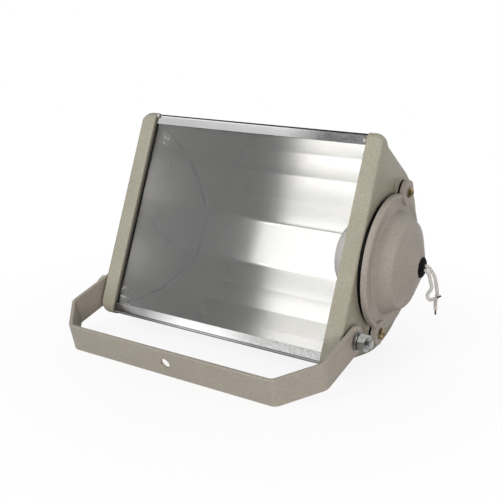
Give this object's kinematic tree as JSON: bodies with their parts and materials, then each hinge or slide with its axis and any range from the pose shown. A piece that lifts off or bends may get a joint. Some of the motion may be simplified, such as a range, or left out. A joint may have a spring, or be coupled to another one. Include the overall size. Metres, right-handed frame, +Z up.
{
  "type": "floodlight",
  "caption": "Trough floodlight with cast end cheeks, flat front glass, domed lamp cover with a cable grommet, and a folded-strap U bracket it tilts in.",
  "frame": {"origin": "middle of the light's footprint, on the ground its bracket bar and cheeks stand on", "axes": "+Z up, -Y the way the glass faces, +X towards the domed lamp cover"},
  "size_m": [0.3984, 0.2882, 0.2385],
  "materials": {
    "cheek_paint": "fine textured grey-beige paint on a casting",
    "cover_paint": "fine textured grey-beige paint on a casting",
    "bracket_paint": "smooth grey-beige paint on steel strap",
    "rail_sheet": "bright sheet, lightly mottled",
    "shell_sheet": "plain mill finish",
    "reflector_sheet": "satin anodised",
    "clear_glass": "flat toughened sheet",
    "black_rubber": "matt",
    "white_silicone": "soft, slightly glossy",
    "yellow_zinc": "yellow passivated zinc",
    "bright_zinc": "bright zinc",
    "porcelain": "glazed white",
    "brass": "nickelled inside",
    "tinned_copper": "dulled strand"
  },
  "bodies": {
    "bracket": {"bracket": "bracket_paint"},
    "housing": {"left_cheek": "cheek_paint", "right_cheek": "cheek_paint", "top_rail": "rail_sheet", "bottom_rail": "rail_sheet", "housing_shell": "shell_sheet", "reflector": "reflector_sheet", "left_end_plate": "reflector_sheet", "right_end_plate": "reflector_sheet", "front_glass": "clear_glass", "left_glass_seal": "black_rubber", "right_glass_seal": "black_rubber", "left_corner_sealant": "white_silicone", "right_corner_sealant": "white_silicone", "tie_rod_top": "bright_zinc", "tie_rod_bottom": "bright_zinc", "tie_rod_rear": "bright_zinc", "pivot_bolt_left": "bright_zinc", "pivot_bolt_right": "bright_zinc", "pivot_washer_left": "bright_zinc", "pivot_washer_right": "bright_zinc", "pivot_spring_washer_left": "bright_zinc", "pivot_spring_washer_right": "bright_zinc", "pivot_nut_left": "bright_zinc", "pivot_nut_right": "bright_zinc"},
    "lamp_cover": {"side_cover": "cover_paint", "cover_gasket": "black_rubber", "cable_grommet": "black_rubber", "lampholder": "porcelain", "lampholder_shell": "brass", "lampholder_contact": "brass", "holder_strap": "bright_zinc", "cover_screw_top": "yellow_zinc", "cover_screw_bottom": "yellow_zinc", "strap_screw_top": "bright_zinc", "strap_screw_bottom": "bright_zinc", "lampholder_screw_front": "bright_zinc", "lampholder_screw_rear": "bright_zinc", "inner_lead_a": "white_silicone", "inner_lead_b": "white_silicone", "lead_a": "white_silicone", "lead_b": "white_silicone", "lead_a_end": "tinned_copper", "lead_b_end": "tinned_copper"}
  },
  "joints": [
    {"name": "housing_tilt", "type": "hinge", "parent": "bracket", "child": "housing", "pos_m": [-0.00919, -0.03841, 0.04128], "axis": [1, 0, 0], "range_deg": [-118, 94]},
    {"name": "lamp_cover_slide", "type": "slide", "parent": "housing", "child": "lamp_cover", "axis": [0.9987, 0.0462, -0.0194], "range_m": [0, 0.1]}
  ]
}
